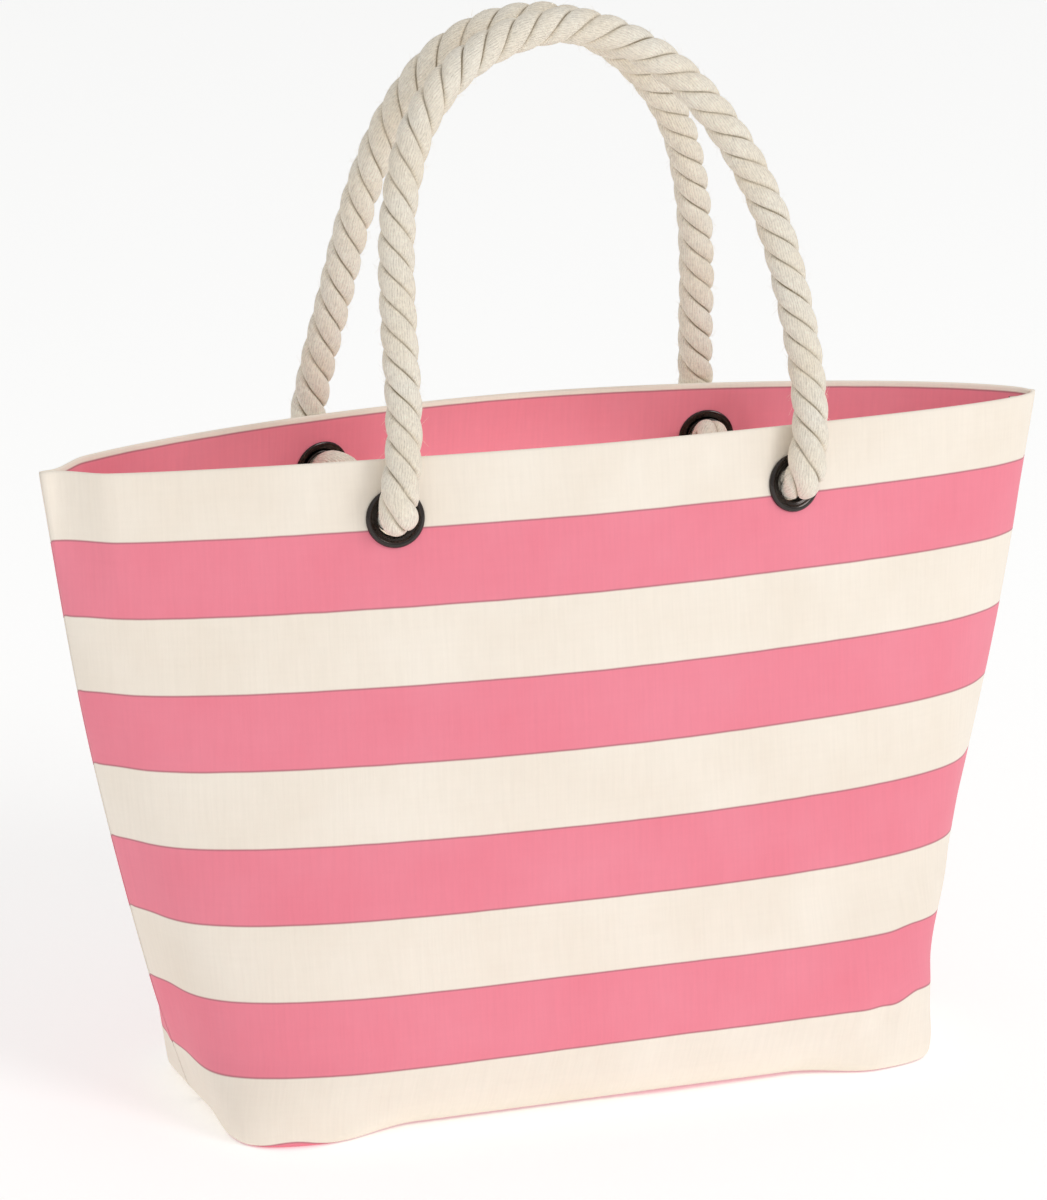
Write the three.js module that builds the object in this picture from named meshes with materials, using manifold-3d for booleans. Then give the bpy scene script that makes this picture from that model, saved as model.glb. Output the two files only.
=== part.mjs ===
// Rope-handle beach bag: a striped canvas bag with a flat boxed base, four metal eyelets and two thick twisted
// rope handles that swing on their eyelets. Millimetres, +Z up, front towards -Y, origin under the middle of the base.
import * as THREE from 'three';
import { LoftGeometry } from 'three/addons/geometries/LoftGeometry.js';
import * as BufferGeometryUtils from 'three/addons/utils/BufferGeometryUtils.js';
import Module from 'manifold-3d';

const manifoldLibrary = await Module();
manifoldLibrary.setup();

// ---- driving dimensions ----
const RIM_HEIGHT = 334;
const RIM_HALF_WIDTH = 266;
const RIM_HALF_DEPTH = 60;          // how far the open rim bows out at its middle
const BASE_HALF_WIDTH = 192;
const BASE_HALF_DEPTH = 84;
const SIDE_BULGE = 6.5;             // half way up, beyond a straight side
const FACE_BULGE = 7.5;             // half way up, beyond a straight front
const RIM_CURVE = { across: 1.6, round: 0.59 };      // a pointed lens
const BASE_CURVE = { across: 4.64, round: 0.2155 };  // a rectangle with round corners
const LENS_HOLD = 2.37;             // how far down the bag the lens shape holds
const CLOTH = 2;                    // canvas with its turned hem
const SIDE_CLOTH = 3 * CLOTH;       // the sides hold the seams' folded layers too
const BASE_EDGE_RADIUS = 6;
const GAP = 0.4;                    // between pieces that touch

const EYELET_X = 105;
const EYELET_BELOW_RIM = 28.5;
const EYELET_RADIUS = 14.5;
const HOLE_RADIUS = 8.8;
const BARREL_WALL = 0.7;
const FLANGE_THICKNESS = 1.2;
const FLANGE_BEVEL = 0.6;
const LIP_WIDTH = 1.2;              // the raised lip round the hole
const PUNCH_LENGTH = 30;

const ROPE_RADIUS = 9;
const PINCHED_ROPE_RADIUS = 8.1;    // where the rope squeezes through its eyelet
const PIVOT_OUT = 14;               // from the cloth to the line that a handle swings about
const HANDLE_REACH = 232;           // from that line to the middle of the arch
const ARCH_GAP = 24;                // between the middles of the two handles where they lean together

const KNOT_RADIUS = 21;
const KNOT_HALF_THICKNESS = 15;
const KNOT_IN = 20;                 // from the cloth to the middle of the knot
const KNOT_BELOW_EYELET = 8;
const TAIL_LENGTH = 48;             // from the middle of the knot down to the cut end
const TAPE_LENGTH = 12;
const TAPE_THICKNESS = 0.6;

const SEAM_WIDTH = 10;
const SEAM_THICKNESS = 2.4;
const SEAM_INSET = 5;               // from the inside of the cloth
const SEAM_MARGIN = 40;             // from each end of a base seam to the base's edge
const SIDE_SEAM_LEVELS = [0.33, 0.66];

const SECTION_STEPS = 56;
const ROPE_SIDES = 10;
const ROPE_STEPS = 40;
const ROUND_STEPS = 24;

// ---- materials ----
const canvas = () => new THREE.MeshStandardMaterial({ color: 0xf08fa0, roughness: 0.9, metalness: 0 });
const overlockThread = () => new THREE.MeshStandardMaterial({ color: 0x3a3838, roughness: 0.85, metalness: 0 });
const gunmetal = () => new THREE.MeshStandardMaterial({ color: 0x2b2523, roughness: 0.3, metalness: 1 });
const cottonRope = () => new THREE.MeshStandardMaterial({ color: 0xede3cf, roughness: 0.95, metalness: 0 });
const clothTape = () => new THREE.MeshStandardMaterial({ color: 0xf2ece0, roughness: 0.7, metalness: 0 });

const bag = new THREE.Group();

function addPiece(name, geometry, material) {
  const mesh = new THREE.Mesh(geometry, material);
  mesh.name = name;
  bag.add(mesh);
  return mesh;
}

// ---- joining and cutting ----
function toSolid(geometry) {
  const bare = new THREE.BufferGeometry().copy(geometry);
  bare.deleteAttribute('normal');
  bare.deleteAttribute('uv');
  const merged = BufferGeometryUtils.mergeVertices(bare, 1e-4);
  return new manifoldLibrary.Manifold(new manifoldLibrary.Mesh({
    numProp: 3,
    vertProperties: new Float32Array(merged.attributes.position.array),
    triVerts: new Uint32Array(merged.index.array),
  }));
}

function toGeometry(solid) {
  const result = solid.getMesh();
  const geometry = new THREE.BufferGeometry();
  geometry.setAttribute('position', new THREE.BufferAttribute(new Float32Array(result.vertProperties), 3));
  geometry.setIndex(new THREE.BufferAttribute(new Uint32Array(result.triVerts), 1));
  geometry.computeVertexNormals();
  return geometry;
}

// ---- the bag's shape ----
const mix = (a, b, t) => a + (b - a) * t;

// Half width, half depth and the curve of the level cross-section at a height.
function sectionAt(height) {
  const level = THREE.MathUtils.clamp(height / RIM_HEIGHT, 0, 1);
  const bulge = 4 * level * (1 - level);
  const boxed = (1 - level) ** LENS_HOLD;
  return {
    halfWidth: mix(BASE_HALF_WIDTH, RIM_HALF_WIDTH, level) + SIDE_BULGE * bulge,
    halfDepth: mix(BASE_HALF_DEPTH, RIM_HALF_DEPTH, level) + FACE_BULGE * bulge,
    across: mix(RIM_CURVE.across, BASE_CURVE.across, boxed),
    round: mix(RIM_CURVE.round, BASE_CURVE.round, boxed),
  };
}

// The ring of points round the bag at a height, taken in from the outside of the cloth by an inset.
function sectionRing(height, sideInset, faceInset, z = height) {
  const { halfWidth, halfDepth, across, round } = sectionAt(height);
  const ring = [];
  for (let i = 0; i < SECTION_STEPS; i++) {
    const angle = (2 * Math.PI * i) / SECTION_STEPS;
    const c = Math.cos(angle);
    const s = Math.sin(angle);
    const x = (halfWidth - sideInset) * Math.sign(c) * Math.abs(c) ** (2 / across);
    const y = (halfDepth - faceInset) * Math.sign(s) * Math.abs(s) ** (2 * round);
    ring.push(new THREE.Vector3(x, y, z));
  }
  return ring;
}

// How far the outside of the cloth stands from the middle plane, at a place on the front or back.
function faceDepth(x, height) {
  const { halfWidth, halfDepth, across, round } = sectionAt(height);
  return halfDepth * (1 - Math.abs(x / halfWidth) ** across) ** round;
}

// The outward direction of the cloth there, for the front (side -1) or the back (side 1).
function faceNormal(x, height, side) {
  const step = 1;
  const slopeX = (faceDepth(x + step, height) - faceDepth(x - step, height)) / (2 * step);
  const slopeZ = (faceDepth(x, height + step) - faceDepth(x, height - step)) / (2 * step);
  return new THREE.Vector3(-slopeX, side, -slopeZ).normalize();
}

const WALL_LEVELS = [0.06, 0.13, 0.22, 0.33, 0.45, 0.58, 0.7, 0.82, 0.92, 1];

function outerBag() {
  const rings = [0, 0.5, 1].map((part) => {
    const turn = (part * Math.PI) / 2;
    const z = BASE_EDGE_RADIUS * (1 - Math.cos(turn));
    const inset = BASE_EDGE_RADIUS * (1 - Math.sin(turn));
    return sectionRing(z, inset, inset);
  });
  WALL_LEVELS.forEach((level) => rings.push(sectionRing(level * RIM_HEIGHT, 0, 0)));
  return toSolid(new LoftGeometry(rings, { capStart: true, capEnd: true }));
}

function insideOfBag() {
  const rings = [sectionRing(CLOTH, SIDE_CLOTH + BASE_EDGE_RADIUS, CLOTH + BASE_EDGE_RADIUS)];
  rings.push(sectionRing(BASE_EDGE_RADIUS + CLOTH, SIDE_CLOTH, CLOTH));
  WALL_LEVELS.forEach((level) => rings.push(sectionRing(level * RIM_HEIGHT, SIDE_CLOTH, CLOTH)));
  rings.push(sectionRing(RIM_HEIGHT, SIDE_CLOTH, CLOTH, RIM_HEIGHT + BASE_EDGE_RADIUS));
  return toSolid(new LoftGeometry(rings, { capStart: true, capEnd: true }));
}

// ---- places of the eyelets ----
const EYELET_HEIGHT = RIM_HEIGHT - EYELET_BELOW_RIM;
const EYELETS = [
  { name: 'front_left', x: -EYELET_X, side: -1 },
  { name: 'front_right', x: EYELET_X, side: -1 },
  { name: 'back_left', x: -EYELET_X, side: 1 },
  { name: 'back_right', x: EYELET_X, side: 1 },
];

function eyeletFrame({ x, side }) {
  const centre = new THREE.Vector3(x, side * faceDepth(x, EYELET_HEIGHT), EYELET_HEIGHT);
  const outward = faceNormal(x, EYELET_HEIGHT, side);
  return { centre, outward };
}

// Stands a shape made round the Y axis on an eyelet, with +Y pointing out of the bag.
function placeOnEyelet(geometry, eyelet) {
  const { centre, outward } = eyeletFrame(eyelet);
  const turn = new THREE.Quaternion().setFromUnitVectors(new THREE.Vector3(0, 1, 0), outward);
  geometry.applyQuaternion(turn);
  geometry.translate(centre.x, centre.y, centre.z);
  return geometry;
}

// ---- canvas panels ----
function makePanels() {
  let shell = outerBag().subtract(insideOfBag());
  const punchRadius = HOLE_RADIUS + BARREL_WALL + GAP;
  EYELETS.forEach((eyelet) => {
    const punch = new THREE.CylinderGeometry(punchRadius, punchRadius, PUNCH_LENGTH, ROUND_STEPS);
    shell = shell.subtract(toSolid(placeOnEyelet(punch, eyelet)));
  });
  const span = 3 * RIM_HALF_WIDTH;
  [['front_panel', -1], ['back_panel', 1]].forEach(([name, side]) => {
    const half = new THREE.BoxGeometry(span, span, span);
    half.translate(0, side * (span / 2 + GAP / 2), 0);
    addPiece(name, toGeometry(shell.intersect(toSolid(half))), canvas());
  });
}

// ---- eyelets and their washers ----
function latheRing(points) {
  const profile = points.map(([r, y]) => new THREE.Vector2(r, y));
  profile.push(profile[0].clone());
  return new THREE.LatheGeometry(profile, ROUND_STEPS);
}

// The flange lies on the cloth, which curves a little away from flat under it.
const FLANGE_LIFT = 0.8;
const INNER_FACE = -CLOTH - FLANGE_LIFT;
const WASHER_THICKNESS = 1;

function makeEyelet(eyelet) {
  const barrel = HOLE_RADIUS + BARREL_WALL;
  const top = FLANGE_LIFT + FLANGE_THICKNESS;
  const shape = latheRing([
    [HOLE_RADIUS, INNER_FACE - WASHER_THICKNESS],
    [barrel, INNER_FACE - WASHER_THICKNESS],
    [barrel, FLANGE_LIFT],
    [EYELET_RADIUS, FLANGE_LIFT],
    [EYELET_RADIUS - FLANGE_BEVEL, top],
    [HOLE_RADIUS + LIP_WIDTH, top + FLANGE_BEVEL],
    [HOLE_RADIUS, top],
  ]);
  addPiece(`${eyelet.name}_eyelet`, placeOnEyelet(shape, eyelet), gunmetal());
}

function makeWasher(eyelet) {
  const inner = HOLE_RADIUS + BARREL_WALL + GAP;
  const shape = latheRing([
    [inner, INNER_FACE - WASHER_THICKNESS],
    [EYELET_RADIUS, INNER_FACE - WASHER_THICKNESS],
    [EYELET_RADIUS, INNER_FACE],
    [inner, INNER_FACE],
  ]);
  addPiece(`${eyelet.name}_washer`, placeOnEyelet(shape, eyelet), gunmetal());
}

// ---- knotted rope ends inside the bag ----
function knotCentre(eyelet) {
  const { centre, outward } = eyeletFrame(eyelet);
  const middle = centre.clone().addScaledVector(outward, -KNOT_IN);
  middle.z -= KNOT_BELOW_EYELET;
  return middle;
}

function makeKnot(eyelet) {
  const reach = KNOT_IN + FLANGE_LIFT + FLANGE_THICKNESS;
  const throat = new THREE.CylinderGeometry(PINCHED_ROPE_RADIUS, PINCHED_ROPE_RADIUS, reach, ROPE_SIDES * 2);
  throat.translate(0, reach / 2 - KNOT_IN, 0);
  const middle = knotCentre(eyelet);
  const lump = new THREE.SphereGeometry(KNOT_RADIUS, ROPE_SIDES * 2, ROPE_SIDES);
  lump.scale(1, KNOT_HALF_THICKNESS / KNOT_RADIUS, 1);
  lump.translate(0, -KNOT_IN, 0);
  placeOnEyelet(lump, eyelet).translate(0, 0, -KNOT_BELOW_EYELET);
  const tail = new THREE.CylinderGeometry(ROPE_RADIUS, ROPE_RADIUS, TAIL_LENGTH, ROPE_SIDES * 2);
  tail.rotateX(Math.PI / 2);
  tail.translate(middle.x, middle.y, middle.z - TAIL_LENGTH / 2);
  const knot = toSolid(placeOnEyelet(throat, eyelet)).add(toSolid(lump)).add(toSolid(tail));
  addPiece(`${eyelet.name}_knot`, toGeometry(knot), cottonRope());
}

function makeRopeTape(eyelet) {
  const inner = ROPE_RADIUS + GAP;
  const tape = latheRing([
    [inner, 0],
    [inner + TAPE_THICKNESS, 0],
    [inner + TAPE_THICKNESS, TAPE_LENGTH],
    [inner, TAPE_LENGTH],
  ]);
  tape.rotateX(Math.PI / 2);
  const middle = knotCentre(eyelet);
  tape.translate(middle.x, middle.y, middle.z - TAIL_LENGTH);
  addPiece(`${eyelet.name}_rope_tape`, tape, clothTape());
}

// ---- rope handles ----
// Each route is seen square to its handle: across the bag, and away from the line that the handle swings about.
const FRONT_ROUTE = [
  [-107, 0], [-104, 25], [-101, 52], [-100, 90], [-98, 128], [-93, 157], [-80, 190], [-58, 214], [-30, 228],
  [0, 232], [28, 224], [56, 205], [81, 173], [98, 135], [107, 92], [111, 52], [110, 25], [107, 0],
];
const BACK_ROUTE = [
  [-107, 0], [-108, 25], [-105, 55], [-99, 92], [-94, 125], [-87, 157], [-76, 187], [-56, 215], [-30, 229],
  [0, 231], [28, 221], [54, 200], [74, 172], [87, 135], [95, 92], [99, 55], [103, 25], [107, 0],
];

function makeHandle(name, side, route) {
  const { centre, outward } = eyeletFrame({ x: EYELET_X, side });
  const pivot = centre.clone().addScaledVector(outward, PIVOT_OUT);
  const leanOver = (side * ARCH_GAP) / 2 - pivot.y;
  const lean = Math.asin(leanOver / HANDLE_REACH);
  const points = route.map(([x, reach]) => new THREE.Vector3(
    x,
    pivot.y + reach * Math.sin(lean),
    pivot.z + reach * Math.cos(lean),
  ));
  const path = new THREE.CatmullRomCurve3(points, false, 'centripetal');
  const section = new THREE.Shape();
  section.absarc(0, 0, ROPE_RADIUS, 0, 2 * Math.PI);
  const rope = new THREE.ExtrudeGeometry(section, {
    steps: ROPE_STEPS,
    curveSegments: ROPE_SIDES / 2,
    extrudePath: path,
  });
  let solid = toSolid(rope);
  [points[0], points[points.length - 1]].forEach((end) => {
    const ball = new THREE.SphereGeometry(ROPE_RADIUS, ROPE_SIDES * 2, ROPE_SIDES);
    ball.translate(end.x, end.y, end.z);
    solid = solid.add(toSolid(ball));
  });
  addPiece(name, toGeometry(solid), cottonRope());
}

// ---- overlocked seams inside the bag ----
function makeSideSeam(name, side) {
  const lowest = 3 * BASE_EDGE_RADIUS;
  const between = SIDE_SEAM_LEVELS.map((level) => level * RIM_HEIGHT);
  const heights = [lowest, ...between, RIM_HEIGHT - CLOTH];
  const outer = heights.map((z) => new THREE.Vector2(sectionAt(z).halfWidth - SIDE_CLOTH - SEAM_INSET, z));
  const inner = outer.map(({ x, y }) => new THREE.Vector2(x - SEAM_WIDTH, y)).reverse();
  const outline = [...outer, ...inner];
  const strip = new THREE.ExtrudeGeometry(new THREE.Shape(outline), { depth: SEAM_THICKNESS, bevelEnabled: false });
  strip.rotateX(Math.PI / 2);
  strip.translate(0, SEAM_THICKNESS / 2, 0);
  if (side < 0) strip.rotateZ(Math.PI);
  addPiece(name, strip, overlockThread());
}

function makeCornerSeam(name, side) {
  const length = 2 * (BASE_HALF_DEPTH - SEAM_MARGIN);
  const strip = new THREE.BoxGeometry(SEAM_THICKNESS, length, SEAM_WIDTH);
  const x = BASE_HALF_WIDTH - SIDE_CLOTH - BASE_EDGE_RADIUS - SEAM_WIDTH;
  strip.translate(side * x, 0, CLOTH + GAP + SEAM_WIDTH / 2);
  addPiece(name, strip, overlockThread());
}

function makeBottomSeam() {
  const length = 2 * (BASE_HALF_WIDTH - SEAM_MARGIN);
  const strip = new THREE.BoxGeometry(length, SEAM_WIDTH, SEAM_THICKNESS);
  strip.translate(0, 0, CLOTH + GAP + SEAM_THICKNESS / 2);
  addPiece('bottom_seam', strip, overlockThread());
}

// ---- the whole bag ----
makePanels();
EYELETS.forEach((eyelet) => {
  makeEyelet(eyelet);
  makeWasher(eyelet);
  makeKnot(eyelet);
  makeRopeTape(eyelet);
});
makeHandle('front_handle', -1, FRONT_ROUTE);
makeHandle('back_handle', 1, BACK_ROUTE);
makeSideSeam('left_side_seam', -1);
makeSideSeam('right_side_seam', 1);
makeCornerSeam('left_corner_seam', -1);
makeCornerSeam('right_corner_seam', 1);
makeBottomSeam();

export default bag;
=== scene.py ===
# The looks of a rope-handle beach bag: striped canvas, twisted cotton rope handles and gunmetal eyelets.
# Metres, +Z up, front towards -Y, origin under the middle of the base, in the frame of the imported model.
import functools
import math
import random

import bmesh
import bpy
import numpy as np
from mathutils import Matrix, Vector


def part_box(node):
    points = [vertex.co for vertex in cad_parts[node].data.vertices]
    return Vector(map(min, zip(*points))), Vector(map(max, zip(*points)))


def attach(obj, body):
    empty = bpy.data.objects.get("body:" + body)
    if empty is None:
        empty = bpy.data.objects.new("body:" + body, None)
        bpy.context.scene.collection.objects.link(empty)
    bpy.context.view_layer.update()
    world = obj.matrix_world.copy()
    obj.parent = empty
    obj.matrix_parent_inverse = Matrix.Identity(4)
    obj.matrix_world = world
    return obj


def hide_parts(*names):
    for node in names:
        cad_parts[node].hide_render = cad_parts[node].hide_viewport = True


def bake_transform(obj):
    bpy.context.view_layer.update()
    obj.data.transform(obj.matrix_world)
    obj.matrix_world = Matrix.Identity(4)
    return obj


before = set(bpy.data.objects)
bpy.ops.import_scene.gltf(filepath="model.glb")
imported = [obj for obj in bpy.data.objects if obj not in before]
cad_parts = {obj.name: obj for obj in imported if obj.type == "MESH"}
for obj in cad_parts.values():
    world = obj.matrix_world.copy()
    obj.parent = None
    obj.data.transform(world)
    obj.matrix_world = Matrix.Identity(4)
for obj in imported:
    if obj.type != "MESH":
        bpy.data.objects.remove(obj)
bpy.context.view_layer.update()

# ---- the bag's shape, as in the part ----
RIM_HEIGHT = 0.334
RIM_HALF_WIDTH = 0.266
RIM_HALF_DEPTH = 0.060
BASE_HALF_WIDTH = 0.192
BASE_HALF_DEPTH = 0.084
SIDE_BULGE = 0.0065
FACE_BULGE = 0.0075
RIM_CURVE = (1.6, 0.59)          # the two powers of the section's curve: a lens at the rim
BASE_CURVE = (4.64, 0.2155)      # and nearly a rectangle at the base
LENS_HOLD = 2.37                 # how soon the base's curve gives way to the rim's
RING_SAMPLES = 2401

# ---- how the cloth lies, which the part leaves plain ----
BOXED_CURVE = (9, 0.111)         # the front's lowest part has squarer corners,
LEFT_BOXED_LEVEL = 0.13          # up to this share of the height at the left
RIGHT_BOXED_LEVEL = 0.30         # and this one at the right
RIM_CORNER_DROP = 0.006          # the rim's corners sit lower than its middle
LONG_EDGE_RADIUS = 0.021         # the base's long edges are soft rolls,
CORNER_EDGE_RADIUS = 0.003       # which tighten at its corners
SIDE_EDGE_RADIUS = 0.011
LONG_EDGE_ENDS = (0.10, 0.15)    # across the bag, from the soft roll to the tight one
SIDE_EDGE_STARTS = (0.055, 0.030)
SEAM_RIDGE = 0.005               # each side seam stands out from the side
RIDGE_WIDTH = 0.014
RIDGE_SUNK = 0.6                 # the share of the ridge that the cloth beside it goes in
RIDGE_STARTS = (0, 0.2)          # shares of the height
RIDGE_ENDS = (0.55, 0.95)
PINCHED_LEFT = 0.13              # the share of the rim's half that lies closed at the left corner
PINCHED_RIGHT = 0.035            # and at the right one
PINCH_STARTS = 0.15              # the share of that which is fully closed
PINCH_LEVELS = (0.75, 1.0)
PINCH_CLOSES = 0.85
DENT_DEPTH = 0.0028              # the right front corner is pushed in a little above the base,
DENT_PLACE = (0.158, 0.030)
DENT_SIZE = (0.011, 0.014)
CORNER_PULL = 0.011              # and pulled in towards the middle
PULL_ACROSS = (0.12, 0.18)
PULL_DEPTH = (0, 0.05)
PULL_HEIGHTS = (0.095, 0.045)
PULL_LOST_AT_FLOOR = 0.4
PULL_LOST_BELOW = 0.03
WAVES = 6                        # soft waves in the cloth
WAVE_HEIGHT = 0.00035
WAVE_HOLD = 0.7
WAVES_FROM_SEAM = 0.08
SHAPE_SEED = 7

EYELET_X = 0.105
EYELET_HEIGHT = RIM_HEIGHT - 0.0285
HOLE_RADIUS = 0.0088
HOLE_MARGIN = 0.0009             # the cloth's hole is this much wider than the eyelet's
PRESSED_RADIUS = 0.017           # the cloth is pressed flat this far round an eyelet
PRESSED_EDGE = 0.028

ROPE_RADIUS = 0.009
PINCHED_ROPE_RADIUS = 0.0085
BEND_ROPE_RADIUS = 0.0099        # the rope spreads where it bends out of its eyelet
KNOTTED_ROPE_RADIUS = 0.0074
PIVOT_OUT = 0.014
HANDLE_REACH = 0.232
ARCH_GAP = 0.024
BEND_RADIUS = 0.012              # how the rope turns up out of its eyelet

# ---- cloth ----
CLOTH = 0.0008
HEM_DEPTH = 0.042
HEM_INSET = 0.0017               # from the outer layer to the hem's layer
HEM_FROM_SEAM = 0.015            # the share of the panel's half in which the hem leaves the seam
SEAM_GAP = 0.0006                # from the middle plane to each panel's edge
PANEL_COLUMNS = 200
HEM_ROWS = 20
FOLD_ROWS = 5
WALL_ROWS = 120
CURL_ROWS = 12
BASE_ROWS = 14
EDGE_ROW = HEM_ROWS + FOLD_ROWS + WALL_ROWS + CURL_ROWS - 2   # where the cloth first lies on the floor
TOPSTITCH_ROWS = {"inside": HEM_ROWS - 2, "outside": HEM_ROWS + FOLD_ROWS + 2}
MERGE_DISTANCE = 0.00002

STRIPE = 0.03833
FIRST_STRIPE_EDGE = -0.00417     # below the rim's fold, so a little cream is folded inside
STRIPES_TO_EDGE = 9
BACK_STRIPE_SHIFT = -0.0012      # the back was cut a little further back along the stripes
OUT_OF_SIGHT = 0.26              # of the roll's radius: how much of it faces down
BACK_PINK = 0.001                # how much of the next pink stripe shows where the cloth rolls under
FRONT_PINK = 0.0008
SLACK_PINK = 0.0030              # and how much more right of the middle, where the edge is slack,
SLACK_STARTS = (-0.01, 0.035)
SLACK_ENDS = (0.04, 0.165)
CORNER_PINK = 0.0035             # and at the left corner
CORNER_PINK_X = -0.166
CORNER_PINK_WIDTH = 0.014
CORNER_LIFT = 0.005              # the stripes climb at the right front corner
LIFT_ACROSS = (0.154, 0.172)
LIFT_FOOT = (0.012, 0.035)
LIFT_TOP = (0.09, 0.04)


# ---- small helpers ----
def linear(hex_colour):
    """An sRGB hex colour as the linear colour that a shader takes."""
    channels = [int(hex_colour[i:i + 2], 16) / 255 for i in (1, 3, 5)]
    return [c / 12.92 if c <= 0.04045 else ((c + 0.055) / 1.055) ** 2.4 for c in channels] + [1.0]


def mix(a, b, t):
    return a + (b - a) * t


def ease(start, end, value):
    """0 before start, 1 after end, and a smooth step between them."""
    t = np.clip((value - start) / (end - start), 0, 1)
    return t * t * (3 - 2 * t)


# ---- camera ----
def make_camera():
    turn, tilt, roll = math.radians(-21.64), math.radians(15.11), math.radians(0.44)
    distance = 2.547
    aim = Vector((-0.018, -0.004, 0.2437))
    back = Vector((math.sin(turn) * math.cos(tilt), -math.cos(turn) * math.cos(tilt), math.sin(tilt)))
    data = bpy.data.cameras.new("camera")
    data.sensor_fit = "HORIZONTAL"
    data.sensor_width = 36
    data.lens = 175.6
    data.clip_end = 50
    camera = bpy.data.objects.new("camera", data)
    facing = Matrix.Rotation(turn, 4, "Z") @ Matrix.Rotation(math.pi / 2 - tilt, 4, "X")
    facing = facing @ Matrix.Rotation(roll, 4, "Z")
    camera.matrix_world = Matrix.Translation(aim + back * distance) @ facing
    bpy.context.scene.collection.objects.link(camera)
    bpy.context.scene.camera = camera


# ---- the cross-section of the bag ----
def section_at(height, boxed_level=0):
    """The bag's half width, half depth and curve at a height, with squarer corners below the boxed level."""
    level = min(max(height / RIM_HEIGHT, 0), 1)
    bulge = 4 * level * (1 - level)
    boxed = (1 - level) ** LENS_HOLD
    half_width = mix(BASE_HALF_WIDTH, RIM_HALF_WIDTH, level) + SIDE_BULGE * bulge
    half_depth = mix(BASE_HALF_DEPTH, RIM_HALF_DEPTH, level) + FACE_BULGE * bulge
    corner = ease(boxed_level, 0, level) if boxed_level else 0
    across = mix(mix(RIM_CURVE[0], BASE_CURVE[0], boxed), BOXED_CURVE[0], corner)
    rounding = mix(mix(RIM_CURVE[1], BASE_CURVE[1], boxed), BOXED_CURVE[1], corner)
    return half_width, half_depth, across, rounding


def face_depth(x, height):
    """From the bag's middle plane to the front or back, where nothing has pulled the cloth."""
    half_width, half_depth, across, rounding = section_at(height)
    return half_depth * (1 - abs(x / half_width) ** across) ** rounding


def half_ring(height, side, count):
    """Places round half the bag at a height, an even distance apart from the left seam to the right seam, the
    outward direction at each, and the distance across from the middle."""
    angle = np.linspace(0, math.pi, RING_SAMPLES)
    left = section_at(height, LEFT_BOXED_LEVEL * (side < 0))
    right = section_at(height, RIGHT_BOXED_LEVEL * (side < 0))
    both = [np.where(angle < math.pi / 2, a, b) for a, b in zip(left, right)]
    half_width, half_depth, across, rounding = both
    x = -half_width * np.sign(np.cos(angle)) * np.abs(np.cos(angle)) ** (2 / across)
    y = half_depth * np.abs(np.sin(angle)) ** (2 * rounding)
    along = np.concatenate([[0], np.cumsum(np.hypot(np.diff(x), np.diff(y)))])
    even = np.linspace(0, along[-1], count)
    x, y = np.interp(even, along, x), np.interp(even, along, y)
    ahead = np.stack([np.gradient(x), np.gradient(y)], axis=1)
    ahead /= np.linalg.norm(ahead, axis=1)[:, None]
    return x, y, np.stack([-ahead[:, 1], ahead[:, 0]], axis=1), even - along[-1] / 2


# ---- eyelets' places ----
def eyelet_frame(x, side):
    """Middle of an eyelet on the outside of the cloth, and the outward direction there."""
    step = 0.001
    centre = Vector((x, side * face_depth(x, EYELET_HEIGHT), EYELET_HEIGHT))
    slope_x = (face_depth(x + step, EYELET_HEIGHT) - face_depth(x - step, EYELET_HEIGHT)) / (2 * step)
    slope_z = (face_depth(x, EYELET_HEIGHT + step) - face_depth(x, EYELET_HEIGHT - step)) / (2 * step)
    return centre, Vector((-slope_x, side, -slope_z)).normalized()


EYELETS = {
    "front_left": (-EYELET_X, -1),
    "front_right": (EYELET_X, -1),
    "back_left": (-EYELET_X, 1),
    "back_right": (EYELET_X, 1),
}


# ---- turning grids and profiles into pieces ----
SAME_PLACE = 0.000001


def grid_mesh(places, layers, closed_round=False, turn_over=False):
    """A grid of places (rows x columns x 3) with UV layers. When closed_round, the last column meets the
    first and the two ends are closed."""
    rows, columns = places.shape[:2]
    bm = bmesh.new()
    bmesh.ops.create_grid(bm, x_segments=columns - 1, y_segments=rows - 1, size=0.5)
    cells = [(round((v.co.y + 0.5) * (rows - 1)), round((v.co.x + 0.5) * (columns - 1))) for v in bm.verts]
    for layer_name, uvs in layers.items():
        layer = bm.loops.layers.uv.new(layer_name)
        for face in bm.faces:
            face.smooth = True
            for loop in face.loops:
                loop[layer].uv = uvs[cells[loop.vert.index]]
    for vert, cell in zip(bm.verts, cells):
        vert.co = places[cell]
    if closed_round:
        meeting = [v for v, (row, column) in zip(bm.verts, cells) if column in (0, columns - 1)]
        bmesh.ops.remove_doubles(bm, verts=meeting, dist=SAME_PLACE)
        caps = bmesh.ops.holes_fill(bm, edges=[e for e in bm.edges if e.is_boundary], sides=0)["faces"]
        bmesh.ops.poke(bm, faces=caps)
        bmesh.ops.recalc_face_normals(bm, faces=bm.faces)
    if turn_over:
        bmesh.ops.reverse_faces(bm, faces=bm.faces)
    return bm


def add_piece(name, bm, slot, *materials):
    mesh = bpy.data.meshes.new(name)
    bm.to_mesh(mesh)
    bm.free()
    for material in materials:
        mesh.materials.append(material)
    piece = bpy.data.objects.new(name, mesh)
    bpy.context.scene.collection.objects.link(piece)
    return piece


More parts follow.
